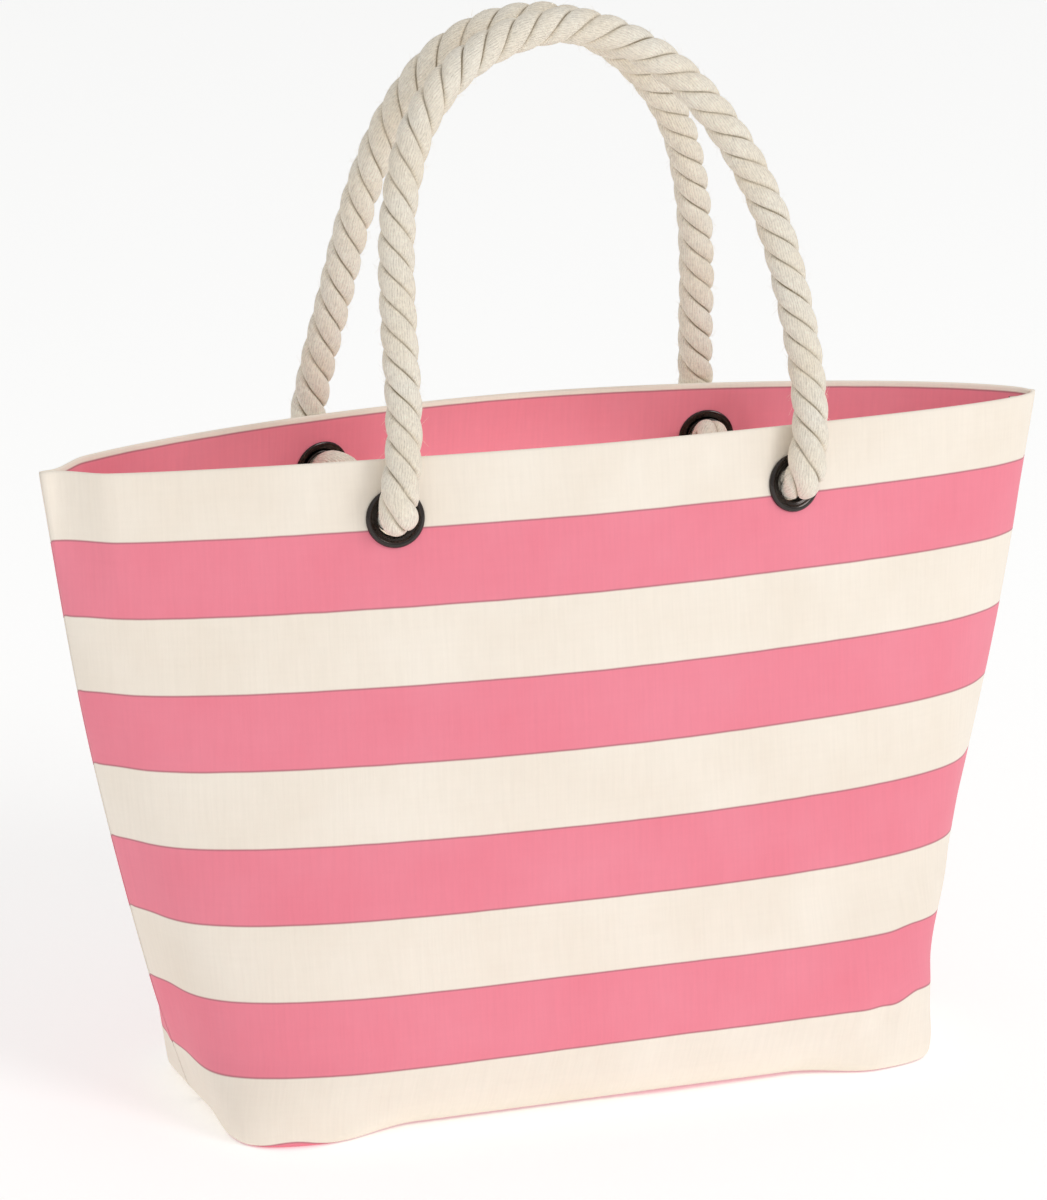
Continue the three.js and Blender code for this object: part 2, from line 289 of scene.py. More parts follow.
def spun_ring(profile, steps):
    """A closed ring round the Y axis from a closed profile of (radius, height)."""
    bm = bmesh.new()
    verts = [bm.verts.new((radius, height, 0)) for radius, height in profile]
    edges = [bm.edges.new(pair) for pair in zip(verts, verts[1:] + verts[:1])]
    bmesh.ops.spin(bm, geom=verts + edges, cent=(0, 0, 0), axis=(0, 1, 0), angle=2 * math.pi,
                   steps=steps, use_merge=True)
    bmesh.ops.recalc_face_normals(bm, faces=bm.faces)
    for face in bm.faces:
        face.smooth = True
    return bm


# ---- lines ----
SAMPLES_BETWEEN_POINTS = 24
FEWEST_STEPS = 8
STEADY_DIRECTION = (0, 0.6, 0.8)  # no line here starts along it


def smooth_line(points, spacing):
    """Evenly spaced places on a smooth curve through given points, and the distance along to each."""
    points = [np.array(p, float) for p in points]
    points = [2 * points[0] - points[1]] + points + [2 * points[-1] - points[-2]]
    fine = []
    for a, b, c, d in zip(points, points[1:], points[2:], points[3:]):
        t1 = np.linalg.norm(b - a) ** 0.5
        t2 = t1 + np.linalg.norm(c - b) ** 0.5
        t3 = t2 + np.linalg.norm(d - c) ** 0.5
        for t in np.linspace(t1, t2, SAMPLES_BETWEEN_POINTS, endpoint=False):
            ab = mix(a, b, t / t1)
            bc = mix(b, c, (t - t1) / (t2 - t1))
            cd = mix(c, d, (t - t2) / (t3 - t2))
            abc = mix(ab, bc, t / t2)
            bcd = mix(bc, cd, (t - t1) / (t3 - t1))
            fine.append(mix(abc, bcd, (t - t1) / (t2 - t1)))
    fine = np.array(fine + [points[-2]])
    along = np.concatenate([[0], np.cumsum(np.linalg.norm(np.diff(fine, axis=0), axis=1))])
    steps = max(FEWEST_STEPS, round(along[-1] / spacing))
    even = np.linspace(0, along[-1], steps + 1)
    return np.stack([np.interp(even, along, fine[:, k]) for k in range(3)], axis=1), even


def frames_along(line):
    """Two directions square to the line at each of its places, which don't twist along it."""
    tangents = np.gradient(line, axis=0)
    tangents /= np.linalg.norm(tangents, axis=1)[:, None]
    first = np.cross(tangents[0], STEADY_DIRECTION)
    sides = [first / np.linalg.norm(first)]
    for tangent in tangents[1:]:
        side = sides[-1] - tangent * np.dot(sides[-1], tangent)
        sides.append(side / np.linalg.norm(side))
    sides = np.array(sides)
    return sides, np.cross(tangents, sides)


# ---- rope ----
STRANDS = 3
ROPE_LAY = 0.042                 # along the rope for one turn of a strand
STRAND_COLUMNS = 24
STRAND_RADIUS = 0.75             # of a strand, as a share of the rope's radius
STRAND_OUT = 0.25                # from the rope's middle to a strand's middle
CREASE_DEPTH = 0.13
CREASE_WIDTH = math.radians(9)

FUZZ_SPACING = 0.0007            # along the rope, from one loose fibre to the next
FUZZ_SCATTER = 0.002
FUZZ_THICKNESS = 0.00007         # several fibres together, because one is too thin to show
FUZZ_TIP = 1 / 3                 # the tip's share of the thickness
FUZZ_LENGTHS = (0.002, 0.0055)
FUZZ_LEANS = (0.6, 2.2)          # along the rope, for each 1 straight out
FUZZ_ROOT = 0.93                 # the share of the rope's radius where a fibre starts
FUZZ_FROM_END = 0.032            # clear of the eyelets
FUZZ_SEED = 11


def strand_outline(turn):
    """The rope's radius at an angle from the middle of a strand, as a share of its full radius."""
    round_strand = STRAND_OUT * np.cos(turn) + np.sqrt(STRAND_RADIUS ** 2 - (STRAND_OUT * np.sin(turn)) ** 2)
    to_crease = math.pi / STRANDS - np.abs(turn)
    return round_strand - CREASE_DEPTH * np.exp(-(to_crease / CREASE_WIDTH) ** 2)


def add_fuzz(bm, line, along, radii, first, second):
    """Loose fibres that stand out of the rope a little, each a thin closed cone."""
    draw = random.Random(FUZZ_SEED)
    ahead = np.cross(first, second)
    for distance in np.arange(FUZZ_FROM_END, along[-1] - FUZZ_FROM_END, FUZZ_SPACING):
        row = int(np.searchsorted(along, distance + draw.uniform(-FUZZ_SCATTER, FUZZ_SCATTER)))
        turn = draw.uniform(0, 2 * math.pi)
        outward = math.cos(turn) * first[row] + math.sin(turn) * second[row]
        lean = draw.choice((-1, 1)) * draw.uniform(*FUZZ_LEANS)
        direction = Vector(outward + lean * ahead[row]).normalized()
        length = draw.uniform(*FUZZ_LENGTHS)
        middle = Vector(line[row] + outward * radii[row] * FUZZ_ROOT) + direction * length / 2
        place = Matrix.Translation(middle) @ direction.to_track_quat("Z", "X").to_matrix().to_4x4()
        bmesh.ops.create_cone(bm, cap_ends=True, segments=3, radius1=FUZZ_THICKNESS,
                              radius2=FUZZ_THICKNESS * FUZZ_TIP, depth=length, matrix=place)


def twisted_rope(line, along, radii, first_turn=0.0):
    """A three-strand rope laid left-handed along a line. Its columns follow the strands and their creases."""
    columns = STRANDS * STRAND_COLUMNS + 1
    strand_arc = 2 * math.pi / STRANDS
    round_rope = np.linspace(0, 2 * math.pi, columns) + strand_arc / 2
    from_strand = (np.linspace(0, 2 * math.pi, columns) % strand_arc) - strand_arc / 2
    outline = strand_outline(from_strand)
    to_crease = np.abs(from_strand) / (strand_arc / 2)
    first, second = frames_along(line)
    places = np.zeros((len(line), columns, 3))
    round_uv = np.zeros((len(line), columns, 2))
    strand_uv = np.zeros((len(line), columns, 2))
    for row, distance in enumerate(along):
        turn = round_rope + first_turn - 2 * math.pi * distance / ROPE_LAY
        outward = np.cos(turn)[:, None] * first[row] + np.sin(turn)[:, None] * second[row]
        places[row] = line[row] + (radii[row] * outline)[:, None] * outward
        round_uv[row] = np.stack([turn / (2 * math.pi), np.full(columns, distance)], axis=1)
        strand_uv[row] = np.stack([to_crease, np.full(columns, distance)], axis=1)
    places[:, -1] = places[:, 0]
    bm = grid_mesh(places, {"round": round_uv, "strand": strand_uv}, closed_round=True)
    add_fuzz(bm, line, along, radii, first, second)
    return bm


# Each route is seen square to its handle: across the bag, and up from the line that the handle swings about.
FRONT_ROUTE = [
    (-0.107, 0), (-0.104, 0.025), (-0.101, 0.052), (-0.100, 0.090), (-0.098, 0.128), (-0.093, 0.157),
    (-0.080, 0.190), (-0.058, 0.214), (-0.030, 0.228), (0, 0.232), (0.028, 0.224), (0.056, 0.205),
    (0.081, 0.173), (0.098, 0.135), (0.107, 0.092), (0.111, 0.052), (0.110, 0.025), (0.107, 0),
]
BACK_ROUTE = [
    (-0.107, 0), (-0.108, 0.025), (-0.105, 0.055), (-0.099, 0.092), (-0.094, 0.125), (-0.087, 0.157),
    (-0.076, 0.187), (-0.056, 0.215), (-0.030, 0.229), (0, 0.231), (0.028, 0.221), (0.054, 0.200),
    (0.074, 0.172), (0.087, 0.135), (0.095, 0.092), (0.099, 0.055), (0.103, 0.025), (0.107, 0),
]
THROAT = 0.0015                  # the handle's rope meets its knot this far inside the eyelet
ROPE_SPACING = 0.0016
BEND_TURNS = [math.radians(degrees) for degrees in (30, 60, 90)]
SPREADS = (0.003, 0.012)         # from the rope's end: where it grows to its widest
SETTLES = (0.018, 0.045)         # and where it has its own size again


def turn_out_of_eyelet(centre, outward, up):
    """From inside the eyelet, straight out, then round the bend and up."""
    bend_start = centre + outward * (PIVOT_OUT - BEND_RADIUS)
    points = [centre - outward * THROAT, bend_start]
    for turn in BEND_TURNS:
        risen = up * BEND_RADIUS * (1 - math.cos(turn))
        points.append(bend_start + risen + outward * BEND_RADIUS * math.sin(turn))
    return points


def handle_line(side, route):
    """From the left eyelet up the route and down to the right one, leaning in to meet the other handle."""
    left_centre, left_outward = eyelet_frame(-EYELET_X, side)
    right_centre, right_outward = eyelet_frame(EYELET_X, side)
    pivot = right_centre + right_outward * PIVOT_OUT
    lean = math.asin((side * ARCH_GAP / 2 - pivot.y) / HANDLE_REACH)
    up = Vector((0, math.sin(lean), math.cos(lean)))
    points = turn_out_of_eyelet(left_centre, left_outward, up)
    points += [Vector((x, pivot.y, pivot.z)) + up * reach for x, reach in route[1:-1]]
    points += reversed(turn_out_of_eyelet(right_centre, right_outward, up))
    return smooth_line(points, ROPE_SPACING)


def make_handle(name, side, route, material):
    line, along = handle_line(side, route)
    from_end = np.minimum(along, along[-1] - along)
    radii = mix(PINCHED_ROPE_RADIUS, BEND_ROPE_RADIUS, ease(*SPREADS, from_end))
    radii = mix(radii, ROPE_RADIUS, ease(*SETTLES, from_end))
    rope = add_piece(f"{name}_rope", twisted_rope(line, along, radii), "cotton_rope", material)
    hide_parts(name)
    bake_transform(rope)
    return rope, line, along[-1]


# ---- knotted ends ----
# Seen from inside the bag: across, up, and in from the cloth. The end goes over itself, behind and out
# through the loop.
KNOT_ROUTE = [
    (0, 0, 0.0015), (0, 0.001, 0.0075), (-0.001, 0.0045, 0.0145), (-0.007, 0, 0.021), (-0.013, -0.011, 0.021),
    (-0.008, -0.024, 0.017), (0.004, -0.031, 0.013), (0.015, -0.026, 0.012), (0.018, -0.013, 0.014),
    (0.013, -0.002, 0.022), (0.002, 0, 0.031), (-0.012, -0.007, 0.032), (-0.021, -0.017, 0.024),
    (-0.019, -0.024, 0.012), (-0.008, -0.026, 0.006), (0.004, -0.023, 0.010), (0.007, -0.024, 0.021),
    (0.004, -0.033, 0.027),
]
KNOT_SPACING = 0.0013
KNOT_FIRST_TURN = 1.0
KNOT_SWELLS = (0.003, 0.007)     # from the eyelet: where the rope leaves its pinch,
KNOT_TIGHTENS = (0.018, 0.032)   # and where the knot squeezes it
TAIL_LOOSENS = (0.014, 0.030)    # from the cut end
TAIL_OVER_TAPE = 0.0005          # the cut end stands out of its tape
TAPE_INNER = 0.0090
TAPE_OUTER = 0.0097
TAPE_EDGE = 0.0003
TAPE_SWELL = 0.0002
TAPE_STEPS = 64


def make_knot(name, x, side, material):
    centre, outward = eyelet_frame(x, side)
    across = Vector((math.copysign(1, x), 0, 0))
    points = [centre + across * a + Vector((0, 0, up)) - outward * inward for a, up, inward in KNOT_ROUTE]
    low, high = (Vector(corner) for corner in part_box(f"{name}_rope_tape"))
    tail = (low + high) / 2
    points += [Vector((tail.x, tail.y, high.z)), Vector((tail.x, tail.y, low.z - TAIL_OVER_TAPE))]
    line, along = smooth_line(points, KNOT_SPACING)
    radii = mix(PINCHED_ROPE_RADIUS, ROPE_RADIUS, ease(*KNOT_SWELLS, along))
    radii = mix(radii, KNOTTED_ROPE_RADIUS, ease(*KNOT_TIGHTENS, along))
    radii = mix(ROPE_RADIUS, radii, ease(*TAIL_LOOSENS, along[-1] - along))
    rope = twisted_rope(line, along, radii, first_turn=KNOT_FIRST_TURN)
    knot = add_piece(f"{name}_knotted_end", rope, "cotton_rope", material)
    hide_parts(f"{name}_knot")
    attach(knot, "bag")
    return knot


def make_rope_tape(name, material):
    """Cloth tape wound round the cut end, with soft edges."""
    low, high = (Vector(corner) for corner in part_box(f"{name}_rope_tape"))
    middle = (low + high) / 2
    half = (high.z - low.z) / 2
    profile = [(TAPE_INNER, -half), (TAPE_OUTER - TAPE_SWELL, -half), (TAPE_OUTER, -half + TAPE_EDGE),
               (TAPE_OUTER + TAPE_SWELL * 0.75, -half * 0.3), (TAPE_OUTER + TAPE_SWELL, half * 0.3),
               (TAPE_OUTER, half - TAPE_EDGE), (TAPE_OUTER - TAPE_SWELL, half), (TAPE_INNER, half)]
    bm = spun_ring(profile, TAPE_STEPS)
    place = Matrix.Translation(middle) @ Matrix.Rotation(math.pi / 2, 4, "X")
    bmesh.ops.transform(bm, matrix=place, verts=bm.verts)
    tape = add_piece(f"{name}_end_tape", bm, "rope_tape", material)
    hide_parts(f"{name}_rope_tape")
    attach(tape, "bag")
    return tape


# ---- canvas panels ----
def soft_waves(across, height, side):
    """How far the cloth stands out or sags in, where nothing holds it."""
    draw = random.Random(SHAPE_SEED + side)
    total = np.zeros_like(across)
    for _ in range(WAVES):
        long_way, short_way = draw.uniform(8, 26), draw.uniform(6, 22)
        lean = draw.uniform(-14, 14)
        start = draw.uniform(0, 2 * math.pi)
        total += np.cos(across * long_way + height * (short_way + lean) + start)
    level = np.clip(height / RIM_HEIGHT, 0, 1)
    return WAVE_HEIGHT * total * np.sin(math.pi * level) ** WAVE_HOLD


def panel_rows():
    """Each row of a panel, from the hem's edge over the rim and down to the middle of the base: its height,
    its inset from the outer layer and how far it has gone over towards the base's middle."""
    fold = HEM_INSET / 2
    fold_height = RIM_HEIGHT - fold
    rows = [(height, HEM_INSET, 0) for height in np.linspace(RIM_HEIGHT - HEM_DEPTH, fold_height, HEM_ROWS)]
    for turn in np.linspace(0, math.pi, FOLD_ROWS + 2)[1:-1]:
        rows.append((fold_height + fold * math.sin(turn), fold + fold * math.cos(turn), 0))
    rows += [(height, 0, 0) for height in np.linspace(fold_height, LONG_EDGE_RADIUS, WALL_ROWS)]
    curl = np.linspace(math.pi / 2, 0, CURL_ROWS)[1:]
    rows += [(LONG_EDGE_RADIUS * (1 - math.cos(turn)), 0, 0) for turn in curl]
    rows += [(0, 0, over) for over in np.linspace(0, 1, BASE_ROWS)[1:]]
    return rows


def base_edge_radius(x, depth):
    """The roll of the base's edge: soft along the long edges, tighter at the sides, tightest at corners."""
    along_long_edge = 1 - ease(*LONG_EDGE_ENDS, np.abs(x))
    along_side = ease(*SIDE_EDGE_STARTS, depth) * (1 - along_long_edge)
    radius = mix(CORNER_EDGE_RADIUS, LONG_EDGE_RADIUS, along_long_edge)
    return mix(radius, SIDE_EDGE_RADIUS, along_side)


def rolled_in(x, depth, height):
    """How far the cloth has curled in over the base's edge at a place."""
    radius = base_edge_radius(x, depth)
    below = np.clip(radius - height, 0, None)
    return radius - np.sqrt(np.clip(radius ** 2 - below ** 2, 0, None)) + CLOTH / 2


def corner_dent(x, height):
    """How far the cloth is pushed in above the base near the right front corner."""
    across, up = (x - DENT_PLACE[0]) / DENT_SIZE[0], (height - DENT_PLACE[1]) / DENT_SIZE[1]
    return DENT_DEPTH * np.exp(-across ** 2 - up ** 2)


def corner_pulled(x, depth, height):
    """How far the right front corner is pulled towards the middle: a little less where it lies down."""
    pull = CORNER_PULL * ease(*PULL_ACROSS, x) * ease(*PULL_DEPTH, depth) * ease(*PULL_HEIGHTS, height)
    return pull * (1 - PULL_LOST_AT_FLOOR * ease(PULL_LOST_BELOW, 0, height))


def seam_ridge(depth, level):
    """How far the cloth stands out at a side seam, and goes in beside it."""
    ridge = SEAM_RIDGE * ease(*RIDGE_STARTS, level) * (1 - ease(*RIDGE_ENDS, level))
    return ridge * (np.exp(-(depth / RIDGE_WIDTH) ** 2) - RIDGE_SUNK)


def closed_at_corner(across_share, level):
    """How nearly the two panels lie closed against each other, near the rim's corners."""
    pinched = np.where(across_share < 0, PINCHED_LEFT, PINCHED_RIGHT)
    from_seam = 1 - np.abs(across_share)
    return PINCH_CLOSES * ease(*PINCH_LEVELS, level) * (1 - ease(PINCH_STARTS * pinched, pinched, from_seam))


def panel_places(side):
    """Places in the middle of the cloth's thickness, row by row."""
    places = []
    across_share = np.linspace(-1, 1, PANEL_COLUMNS + 1)
    from_seam = 1 - np.abs(across_share)
    is_front = side < 0
    for height, inset, over in panel_rows():
        level = height / RIM_HEIGHT
        x, depth, outward, across = half_ring(height, side, PANEL_COLUMNS + 1)
        inwards = rolled_in(x, depth, height) + corner_dent(x, height) * is_front
        x = x - corner_pulled(x, depth, height) * is_front
        x = x + outward[:, 0] * seam_ridge(depth, level)
        x, depth = x - outward[:, 0] * inwards, depth - outward[:, 1] * inwards
        depth = depth * (1 - closed_at_corner(across_share, level))
        depth = depth + soft_waves(across, height, side) * ease(0, WAVES_FROM_SEAM, from_seam)
        room = HEM_INSET * (height > RIM_HEIGHT - HEM_DEPTH - CLOTH) * ease(0, HEM_FROM_SEAM, from_seam)
        depth = np.maximum(depth, SEAM_GAP + room) - np.minimum(inset, room)
        middle_x = np.clip(x, SIDE_EDGE_RADIUS - BASE_HALF_WIDTH, BASE_HALF_WIDTH - SIDE_EDGE_RADIUS)
        x, depth = mix(x, middle_x, over), mix(depth, SEAM_GAP, over)
        drop = RIM_CORNER_DROP * across_share ** 2 * level
        z = np.maximum(height - drop, 0) + CLOTH / 2
        places.append(np.stack([x, side * depth, z], axis=1))
    return np.array(places)


def press_flat_at_eyelets(places, side):
    """The cloth is pressed flat under each eyelet, and eases back into its curve round it."""
    for x in (-EYELET_X, EYELET_X):
        centre, outward = (np.array(v) for v in eyelet_frame(x, side))
        offset = places - centre
        proud = offset @ outward
        radius = np.linalg.norm(offset - proud[..., None] * outward, axis=-1)
        plane = np.where(np.arange(len(places)) < HEM_ROWS, -HEM_INSET, 0)[:, None] - CLOTH / 2
        hold = (1 - ease(PRESSED_RADIUS, PRESSED_EDGE, radius)) * (np.abs(proud) < PRESSED_RADIUS)
        hold[HEM_ROWS:HEM_ROWS + FOLD_ROWS] = 0
        places += ((plane - proud) * hold)[..., None] * outward


def punch_holes(bm, side):
    """Cuts a round hole through both layers at each eyelet."""
    cut_radius = HOLE_RADIUS + HOLE_MARGIN
    for x in (-EYELET_X, EYELET_X):
        centre, outward = eyelet_frame(x, side)

        def from_axis(place):
            offset = place - centre
            return offset - outward * offset.dot(outward)

        def near(place):
            proud = abs((place - centre).dot(outward))
            return proud < PRESSED_RADIUS and from_axis(place).length < cut_radius

        inside = [face for face in bm.faces if near(face.calc_center_median())]
        bmesh.ops.delete(bm, geom=inside, context="FACES")
        for vert in bm.verts:
            if vert.is_boundary and (vert.co - centre).length < PRESSED_RADIUS:
                radial = from_axis(vert.co)
                if radial.length < 2 * cut_radius:
                    vert.co += radial.normalized() * (cut_radius - radial.length)


def pink_under_edge(x, side):
    """How much of the next pink stripe shows where the cloth rolls under."""
    if side > 0:
        return np.full_like(x, BACK_PINK)
    slack = ease(*SLACK_STARTS, x) * (1 - ease(*SLACK_ENDS, x))
    left_corner = np.exp(-((x - CORNER_PINK_X) / CORNER_PINK_WIDTH) ** 2)
    return FRONT_PINK + SLACK_PINK * slack + CORNER_PINK * left_corner


def panel_uvs(places, side):
    """Across from the middle of the panel, and down the cloth from the rim's fold, in metres. The last cream
    stripe ends as the cloth rolls under."""
    step_down = np.linalg.norm(np.diff(places, axis=0), axis=2)
    down = np.concatenate([np.zeros((1, places.shape[1])), np.cumsum(step_down, axis=0)])
    down -= down[HEM_ROWS + FOLD_ROWS // 2] - (BACK_STRIPE_SHIFT if side > 0 else 0)
    x, depth = places[EDGE_ROW, :, 0], side * places[EDGE_ROW, :, 1]
    rolled_under = OUT_OF_SIGHT * base_edge_radius(x, depth)
    edge_place = FIRST_STRIPE_EDGE + STRIPES_TO_EDGE * STRIPE + rolled_under + pink_under_edge(x, side)
    last_stripe = FIRST_STRIPE_EDGE + (STRIPES_TO_EDGE - 1) * STRIPE
    down += (edge_place - down[EDGE_ROW]) * ease(last_stripe, down[EDGE_ROW], down)
    if side < 0:
        corner = ease(*LIFT_ACROSS, places[..., 0])
        down += CORNER_LIFT * corner * ease(*LIFT_TOP, places[..., 2]) * ease(*LIFT_FOOT, places[..., 2])
    step_across = np.linalg.norm(np.diff(places, axis=1), axis=2)
    across = np.concatenate([np.zeros((places.shape[0], 1)), np.cumsum(step_across, axis=1)], axis=1)
    across -= across[:, -1:] / 2
    return np.stack([across, down], axis=2)


def make_panel(name, side, canvas, reverse):
    """Makes a panel and gives its places back, which its stitches follow."""
    places = panel_places(side)
    press_flat_at_eyelets(places, side)
    uvs = panel_uvs(places, side)
    bm = grid_mesh(places, {"cloth": uvs}, turn_over=side < 0)
    punch_holes(bm, side)
    bmesh.ops.remove_doubles(bm, verts=bm.verts, dist=MERGE_DISTANCE)
    panel = add_piece(f"{name}_canvas", bm, "striped_canvas", canvas, reverse)
    thickness = panel.modifiers.new("thickness", "SOLIDIFY")
    thickness.thickness = CLOTH
    thickness.offset = 0
    thickness.material_offset = 1
    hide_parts(name)
    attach(panel, "bag")
    return places


# ---- stitching ----
STITCH_PITCH = 0.0037
STITCH_LENGTH = 0.0030
STITCH_RADIUS = 0.00032
STITCH_PROUD = 0.4               # the share of its radius that a stitch's middle stands off the cloth


def along_run(values, along, distance):
    """A place or a direction at a distance along a line."""
    return Vector([np.interp(distance, along, values[:, k]) for k in range(3)])


def stitch_row(name, places, row, below, material):
    """Short stitches along a row of a panel, each sunk a little into the cloth."""
    line, outwards = places[row], np.cross(np.gradient(places[row], axis=0), below)
    outwards /= np.linalg.norm(outwards, axis=1)[:, None]
    along = np.concatenate([[0], np.cumsum(np.linalg.norm(np.diff(line, axis=0), axis=1))])
    bm = bmesh.new()
    for start in np.arange(STITCH_PITCH, along[-1] - STITCH_PITCH, STITCH_PITCH):
        middle = along_run(line, along, start)
        ahead = along_run(line, along, start + STITCH_LENGTH / 2) - middle
        turn = ahead.to_track_quat("X", "Z").to_matrix().to_4x4()
        shape = Matrix.Diagonal((STITCH_LENGTH / 2, STITCH_RADIUS, STITCH_RADIUS, 1))
        off_cloth = along_run(outwards, along, start) * (CLOTH / 2 + STITCH_RADIUS * STITCH_PROUD)
        place = Matrix.Translation(middle + off_cloth) @ turn @ shape
        bmesh.ops.create_uvsphere(bm, u_segments=6, v_segments=5, radius=1, matrix=place)
    for face in bm.faces:
        face.smooth = True
    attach(add_piece(name, bm, "striped_canvas", material), "bag")


# ---- eyelets ----
def place_on_eyelet(bm, x, side):
    centre, outward = eyelet_frame(x, side)
    turn = Vector((0, 1, 0)).rotation_difference(outward).to_matrix().to_4x4()
    bmesh.ops.transform(bm, matrix=Matrix.Translation(centre) @ turn, verts=bm.verts)


EYELET_PROFILE = [
    (0.00880, -0.00300), (0.00880, -0.00060), (0.00895, 0.00020), (0.00935, 0.00080), (0.01000, 0.00115),
    (0.01065, 0.00118), (0.01105, 0.00132), (0.01160, 0.00172), (0.01230, 0.00202), (0.01305, 0.00208),
    (0.01370, 0.00188), (0.01420, 0.00148), (0.01446, 0.00096), (0.01450, 0.00050), (0.01436, 0.00018),
    (0.01400, 0.00004), (0.01100, 0.00004), (0.00955, -0.00010), (0.00945, -0.00050), (0.00945, -0.00330),
    (0.01010, -0.00372), (0.01045, -0.00400), (0.01030, -0.00440), (0.00975, -0.00455), (0.00910, -0.00420),
    (0.00884, -0.00360),
]
WASHER_PROFILE = [
    (0.00970, -0.00262), (0.01400, -0.00262), (0.01436, -0.00272), (0.01450, -0.00300), (0.01432, -0.00332),
    (0.01370, -0.00356), (0.01280, -0.00364), (0.01180, -0.00350), (0.01090, -0.00330), (0.00980, -0.00322),
]
ROUND_STEPS = 96


def make_eyelet(name, x, side, material):
    for part, profile in (("eyelet", EYELET_PROFILE), ("washer", WASHER_PROFILE)):
        bm = spun_ring(profile, ROUND_STEPS)
        place_on_eyelet(bm, x, side)
        ring = add_piece(f"{name}_{part}_ring", bm, "gunmetal", material)
        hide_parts(f"{name}_{part}")
        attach(ring, "bag")


# ---- seams inside the bag ----
SEAM_WIDTH = 0.010
SEAM_SPACING = 0.004
SEAM_SWELL = 1.05                # the allowance is a little thicker in its middle,
SEAM_BEVEL = 0.0004              # and worn at its raw edge
SEAM_SIDE_INSET = 0.003
SEAM_BELOW_RIM = 0.002
SIDE_SEAM_FOOT = 0.024
OVERLOCK_PITCH = 0.0026
OVERLOCK_BITE = 0.0032
OVERLOCK_STEPS = 10              # for each loop
OVERLOCK_OVER_EDGE = 0.0006
OVERLOCK_OFF_CLOTH = 0.0005
THREAD_RADIUS = 0.00028
THREAD_SIDES = 5
SWEPT_UV_STEP = 0.001


def swept(line, right, up, section):
    """A closed section carried along a line, with its two directions given at each place."""
    ring = np.array(section + section[:1])
    places = line[:, None, :] + ring[None, :, 0:1] * right[:, None, :] + ring[None, :, 1:2] * up[:, None, :]
    run, round_section = np.meshgrid(np.arange(len(line)), np.arange(len(ring)), indexing="ij")
    uvs = np.stack([round_section, run], axis=2) * SWEPT_UV_STEP
    return grid_mesh(places, {"cloth": uvs}, closed_round=True)


def make_seam(name, edge, inward, square, canvas_reverse, thread):
    """A seam allowance: two layers of canvas from the seam's edge inwards, overlocked along the raw edge."""
    line, along = smooth_line(edge, SEAM_SPACING)
    inward = np.tile(np.array(inward, float), (len(line), 1))
    square = np.tile(np.array(square, float), (len(line), 1))
    half, thick = SEAM_WIDTH / 2, CLOTH
    upper = [(half, thick * 0.5), (half - SEAM_BEVEL, thick), (0, thick * SEAM_SWELL), (-half, thick)]
    lower = [(across, -up) for across, up in reversed(upper)]
    strip = add_piece(f"{name}_allowance", swept(line + inward * half, inward, square, lower + upper),
                      "striped_canvas", canvas_reverse)
    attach(strip, "bag")
    turns = along[-1] / OVERLOCK_PITCH
    steps = np.linspace(0, turns, int(turns * OVERLOCK_STEPS))
    raw_edge = np.stack([np.interp(steps * OVERLOCK_PITCH, along, line[:, k]) for k in range(3)], axis=1)
    angle = (2 * math.pi * steps)[:, None]
    centre = raw_edge + inward[0] * (SEAM_WIDTH - OVERLOCK_BITE + OVERLOCK_OVER_EDGE)
    over_cloth = square[0] * (CLOTH + OVERLOCK_OFF_CLOTH)
    loops = centre + inward[0] * OVERLOCK_BITE * np.cos(angle) + over_cloth * np.sin(angle)
    first, second = frames_along(loops)
    round_thread = np.linspace(0, 2 * math.pi, THREAD_SIDES + 1)[:-1]
    section = [(THREAD_RADIUS * math.cos(turn), THREAD_RADIUS * math.sin(turn)) for turn in round_thread]
    overlock = add_piece(f"{name}_overlock", swept(loops, first, second, section), "overlock_thread", thread)
    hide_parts(name)
    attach(overlock, "bag")


def make_seams(reverse, thread):
    for name, side in (("left", -1), ("right", 1)):
        heights = np.linspace(RIM_HEIGHT - RIM_CORNER_DROP - SEAM_BELOW_RIM, SIDE_SEAM_FOOT, 12)
        edge = [(side * (section_at(height)[0] - SEAM_SIDE_INSET), 0, height) for height in heights]
        make_seam(f"{name}_side_seam", edge, (-side, 0, 0), (0, 1, 0), reverse, thread)
        low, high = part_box(f"{name}_corner_seam")
        x = (low[0] + high[0]) / 2
        edge = [(x, y, CLOTH * 2) for y in np.linspace(low[1], high[1], 6)]
        make_seam(f"{name}_corner_seam", edge, (0, 0, 1), (1, 0, 0), reverse, thread)
    low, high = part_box("bottom_seam")
    edge = [(x, low[1], CLOTH * 3.5) for x in np.linspace(low[0], high[0], 6)]
    make_seam("bottom_seam", edge, (0, 1, 0), (0, 0, 1), reverse, thread)


# ---- materials ----
# A Math node takes its inputs by their order, and a Mix node of colours by these.
SHARE, FIRST, SECOND = 0, 6, 7

THREAD_PITCH = 0.0011
THREAD_CROSSING = 0.04           # how much the crossings of the threads stand out, beside the slubs
SLUB_STRETCH = ((620, 34, 1), (30, 560, 1))   # slubs to a metre, along the warp and along the weft
WEFT_SLUBS = 0.4
WAVER = 0.0005                   # the stripes' edges waver this much,
EDGE_BLUR = 0.00022              # are this soft
EDGE_SHIFT = 0.00025
LINE_SHIFT = 0.0002              # and have a thin dark line beside them
LINE_WIDTH = 0.0008
LINE_DEPTH = 0.8
YARNS_ROUND = 42                 # yarns counted round the rope
YARN_WANDER = 14.0
YARN_RELIEF = 0.14
FIBRES_ROUND = 2 * math.pi * ROPE_RADIUS * 1100
FIBRES_ALONG = 260


